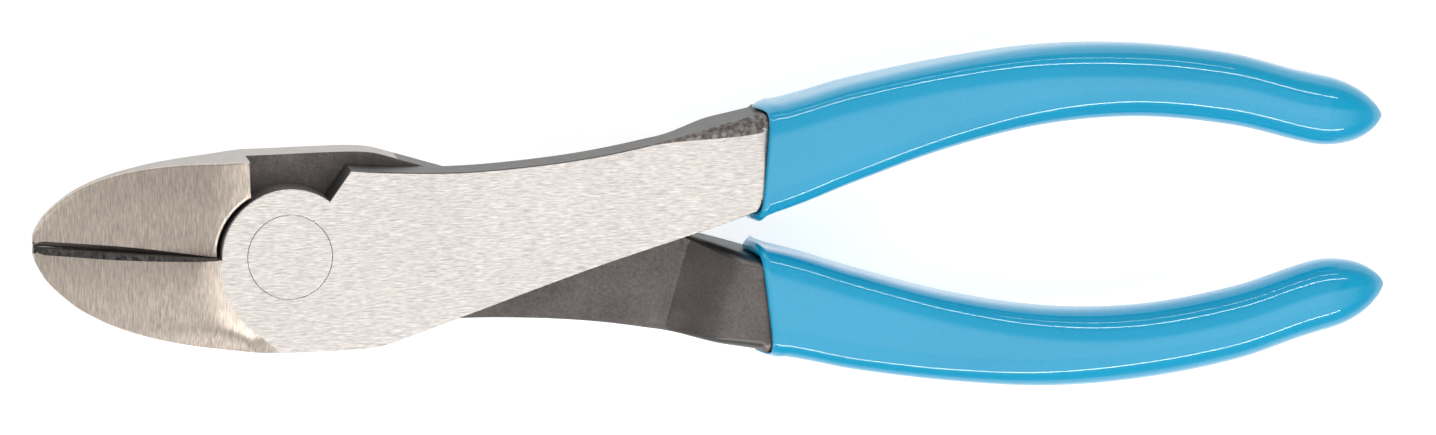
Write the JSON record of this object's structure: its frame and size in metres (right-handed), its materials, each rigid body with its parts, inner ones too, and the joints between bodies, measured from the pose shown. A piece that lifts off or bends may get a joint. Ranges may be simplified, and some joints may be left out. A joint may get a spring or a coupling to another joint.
{
  "type": "diagonal cutting pliers",
  "caption": "High-leverage diagonal cutting pliers: two lapped forged halves on a flush rivet, a head that curves down to a rounded nose, and dipped vinyl grips.",
  "frame": {"origin": "on the pivot axis, in the plane of the joint's ground back face", "axes": "+X along the tool from the pivot to the handles, +Y across it, +Z along the pivot axis from the back face to the front face"},
  "size_m": [0.1952, 0.0498, 0.0198],
  "materials": {
    "forged_steel": "ground bright on the outer faces and jaws, black oxide left on the lap faces and forged edges",
    "rivet_steel": "ground flush with the joint's faces",
    "grip_vinyl": "glossy dipped vinyl"
  },
  "bodies": {
    "rear": {"rear_half": "forged_steel", "rear_grip": "grip_vinyl"},
    "front": {"front_half": "forged_steel", "pivot_rivet": "rivet_steel", "front_grip": "grip_vinyl"}
  },
  "joints": [
    {"name": "pivot", "type": "hinge", "parent": "rear", "child": "front", "pos_m": [0, 0, 0.006], "axis": [0, 0, 1], "range_deg": [-0.15, 52]}
  ]
}
